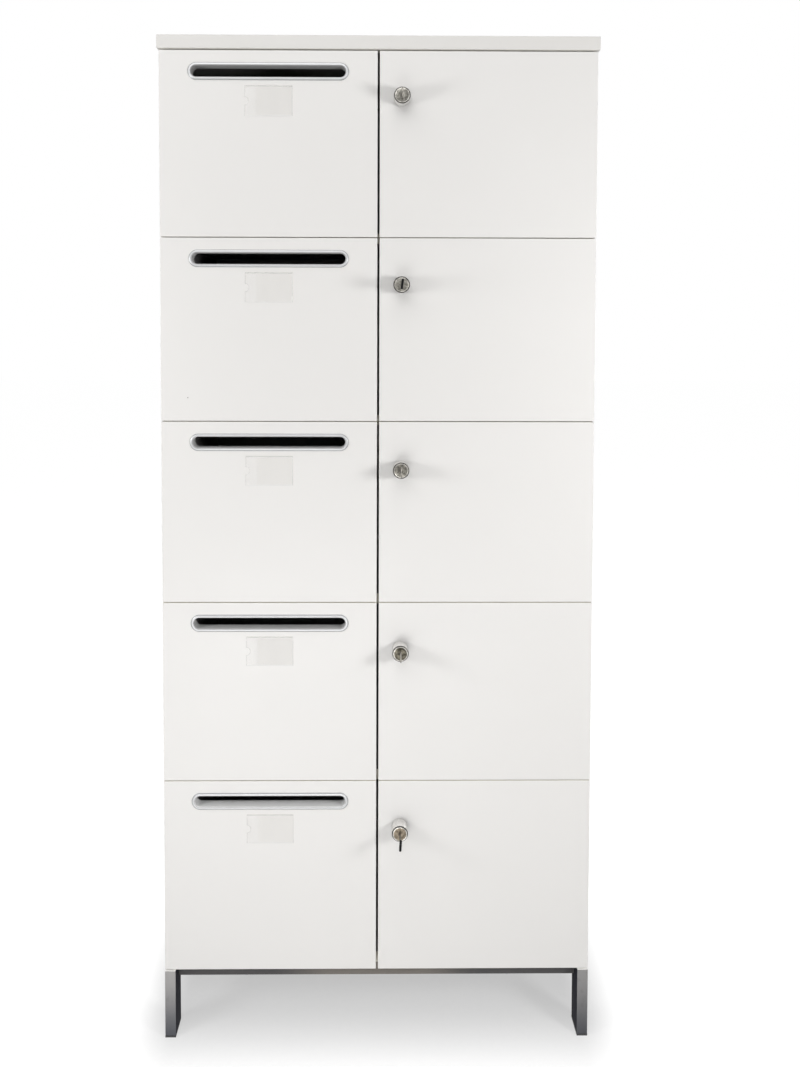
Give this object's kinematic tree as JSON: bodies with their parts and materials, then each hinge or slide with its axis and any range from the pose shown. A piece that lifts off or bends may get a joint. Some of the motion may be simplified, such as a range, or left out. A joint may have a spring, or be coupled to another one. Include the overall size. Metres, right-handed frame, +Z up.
{
  "type": "locker",
  "caption": "Tall white office locker with rows of paired hinged doors, letter slots and label pockets at left, knob locks with keys at right, on a grey steel base.",
  "frame": {"origin": "on the floor under the middle of the whole locker, keys in", "axes": "+X to the right of someone facing the doors, +Y to the back, +Z up"},
  "size_m": [0.808, 0.486, 1.875],
  "materials": {
    "white_laminate": "white melamine-faced board with a fine satin texture",
    "back_laminate": "thin white-faced back board",
    "base_paint": "satin silver-grey powder coat",
    "glide_plastic": "black moulded plastic",
    "hinge_nickel": "nickel-plated pressed steel",
    "screw_zinc": "bright zinc plate",
    "slot_silver": "silver-coloured moulded plastic",
    "pocket_clear": "clear soft film",
    "keeper_zinc": "bright zinc plate",
    "lock_nickel": "satin nickel plate",
    "plug_nickel": "turned nickel plate",
    "key_nickel": "nickel-plated blank",
    "key_black": "black moulded bow on a nickel-plated blade"
  },
  "bodies": {
    "carcass": {"side_panel_left": "white_laminate", "side_panel_right": "white_laminate", "top_panel": "white_laminate", "bottom_panel": "white_laminate", "shelves": "white_laminate", "back_panel": "back_laminate", "base_frame": "base_paint", "foot_glides": "glide_plastic", "hinge_arms": "hinge_nickel", "screws": "screw_zinc"},
    "left_leaf_1": {"door_left_1": "white_laminate", "letter_slot_frame_1": "slot_silver", "label_pocket_1": "pocket_clear", "hinge_cups_left_1": "hinge_nickel", "lock_keeper_1": "keeper_zinc"},
    "right_leaf_1": {"door_right_1": "white_laminate", "lock_housing_1": "lock_nickel", "hinge_cups_right_1": "hinge_nickel"},
    "lock_cylinder_1": {"lock_plug_1": "plug_nickel"},
    "removable_key_1": {"key_1": "key_nickel"},
    "left_leaf_2": {"door_left_2": "white_laminate", "letter_slot_frame_2": "slot_silver", "label_pocket_2": "pocket_clear", "hinge_cups_left_2": "hinge_nickel", "lock_keeper_2": "keeper_zinc"},
    "right_leaf_2": {"door_right_2": "white_laminate", "lock_housing_2": "lock_nickel", "hinge_cups_right_2": "hinge_nickel"},
    "lock_cylinder_2": {"lock_plug_2": "plug_nickel"},
    "removable_key_2": {"key_2": "key_black"},
    "left_leaf_3": {"door_left_3": "white_laminate", "letter_slot_frame_3": "slot_silver", "label_pocket_3": "pocket_clear", "hinge_cups_left_3": "hinge_nickel", "lock_keeper_3": "keeper_zinc"},
    "right_leaf_3": {"door_right_3": "white_laminate", "lock_housing_3": "lock_nickel", "hinge_cups_right_3": "hinge_nickel"},
    "lock_cylinder_3": {"lock_plug_3": "plug_nickel"},
    "removable_key_3": {"key_3": "key_nickel"},
    "left_leaf_4": {"door_left_4": "white_laminate", "letter_slot_frame_4": "slot_silver", "label_pocket_4": "pocket_clear", "hinge_cups_left_4": "hinge_nickel", "lock_keeper_4": "keeper_zinc"},
    "right_leaf_4": {"door_right_4": "white_laminate", "lock_housing_4": "lock_nickel", "hinge_cups_right_4": "hinge_nickel"},
    "lock_cylinder_4": {"lock_plug_4": "plug_nickel"},
    "removable_key_4": {"key_4": "key_nickel"},
    "left_leaf_5": {"door_left_5": "white_laminate", "letter_slot_frame_5": "slot_silver", "label_pocket_5": "pocket_clear", "hinge_cups_left_5": "hinge_nickel", "lock_keeper_5": "keeper_zinc"},
    "right_leaf_5": {"door_right_5": "white_laminate", "lock_housing_5": "lock_nickel", "hinge_cups_right_5": "hinge_nickel"},
    "lock_cylinder_5": {"lock_plug_5": "plug_nickel"},
    "removable_key_5": {"key_5": "key_black"}
  },
  "joints": [
    {"name": "left_door_1_swing", "type": "hinge", "parent": "carcass", "child": "left_leaf_1", "pos_m": [-0.3917, -0.1725, 1.772], "axis": [0, 0, -1], "range_deg": [0, 95]},
    {"name": "right_door_1_swing", "type": "hinge", "parent": "carcass", "child": "right_leaf_1", "pos_m": [0.3917, -0.1725, 1.772], "axis": [0, 0, 1], "range_deg": [0, 95]},
    {"name": "lock_1_turn", "type": "hinge", "parent": "right_leaf_1", "child": "lock_cylinder_1", "pos_m": [0.042, -0.182, 1.761], "axis": [0, 1, 0], "range_deg": [0, 90]},
    {"name": "key_1_pull", "type": "slide", "parent": "lock_cylinder_1", "child": "removable_key_1", "axis": [0, -1, 0], "range_m": [0, 0.03]},
    {"name": "left_door_2_swing", "type": "hinge", "parent": "carcass", "child": "left_leaf_2", "pos_m": [-0.3917, -0.1725, 1.43325], "axis": [0, 0, -1], "range_deg": [0, 95]},
    {"name": "right_door_2_swing", "type": "hinge", "parent": "carcass", "child": "right_leaf_2", "pos_m": [0.3917, -0.1725, 1.43325], "axis": [0, 0, 1], "range_deg": [0, 95]},
    {"name": "lock_2_turn", "type": "hinge", "parent": "right_leaf_2", "child": "lock_cylinder_2", "pos_m": [0.042, -0.182, 1.42225], "axis": [0, 1, 0], "range_deg": [-7, 83]},
    {"name": "key_2_pull", "type": "slide", "parent": "lock_cylinder_2", "child": "removable_key_2", "axis": [0, -1, 0], "range_m": [0, 0.03]},
    {"name": "left_door_3_swing", "type": "hinge", "parent": "carcass", "child": "left_leaf_3", "pos_m": [-0.3917, -0.1725, 1.09525], "axis": [0, 0, -1], "range_deg": [0, 95]},
    {"name": "right_door_3_swing", "type": "hinge", "parent": "carcass", "child": "right_leaf_3", "pos_m": [0.3917, -0.1725, 1.09525], "axis": [0, 0, 1], "range_deg": [0, 95]},
    {"name": "lock_3_turn", "type": "hinge", "parent": "right_leaf_3", "child": "lock_cylinder_3", "pos_m": [0.042, -0.182, 1.08425], "axis": [0, 1, 0], "range_deg": [0, 90]},
    {"name": "key_3_pull", "type": "slide", "parent": "lock_cylinder_3", "child": "removable_key_3", "axis": [0, -1, 0], "range_m": [0, 0.03]},
    {"name": "left_door_4_swing", "type": "hinge", "parent": "carcass", "child": "left_leaf_4", "pos_m": [-0.3917, -0.1725, 0.75725], "axis": [0, 0, -1], "range_deg": [0, 95]},
    {"name": "right_door_4_swing", "type": "hinge", "parent": "carcass", "child": "right_leaf_4", "pos_m": [0.3917, -0.1725, 0.75725], "axis": [0, 0, 1], "range_deg": [0, 95]},
    {"name": "lock_4_turn", "type": "hinge", "parent": "right_leaf_4", "child": "lock_cylinder_4", "pos_m": [0.042, -0.182, 0.74625], "axis": [0, 1, 0], "range_deg": [0, 90]},
    {"name": "key_4_pull", "type": "slide", "parent": "lock_cylinder_4", "child": "removable_key_4", "axis": [0, -1, 0], "range_m": [0, 0.03]},
    {"name": "left_door_5_swing", "type": "hinge", "parent": "carcass", "child": "left_leaf_5", "pos_m": [-0.3917, -0.1725, 0.41925], "axis": [0, 0, -1], "range_deg": [0, 95]},
    {"name": "right_door_5_swing", "type": "hinge", "parent": "carcass", "child": "right_leaf_5", "pos_m": [0.3917, -0.1725, 0.41925], "axis": [0, 0, 1], "range_deg": [0, 95]},
    {"name": "lock_5_turn", "type": "hinge", "parent": "right_leaf_5", "child": "lock_cylinder_5", "pos_m": [0.042, -0.182, 0.40825], "axis": [0, 1, 0], "range_deg": [0, 90]},
    {"name": "key_5_pull", "type": "slide", "parent": "lock_cylinder_5", "child": "removable_key_5", "axis": [0, -1, 0], "range_m": [0, 0.03]}
  ]
}
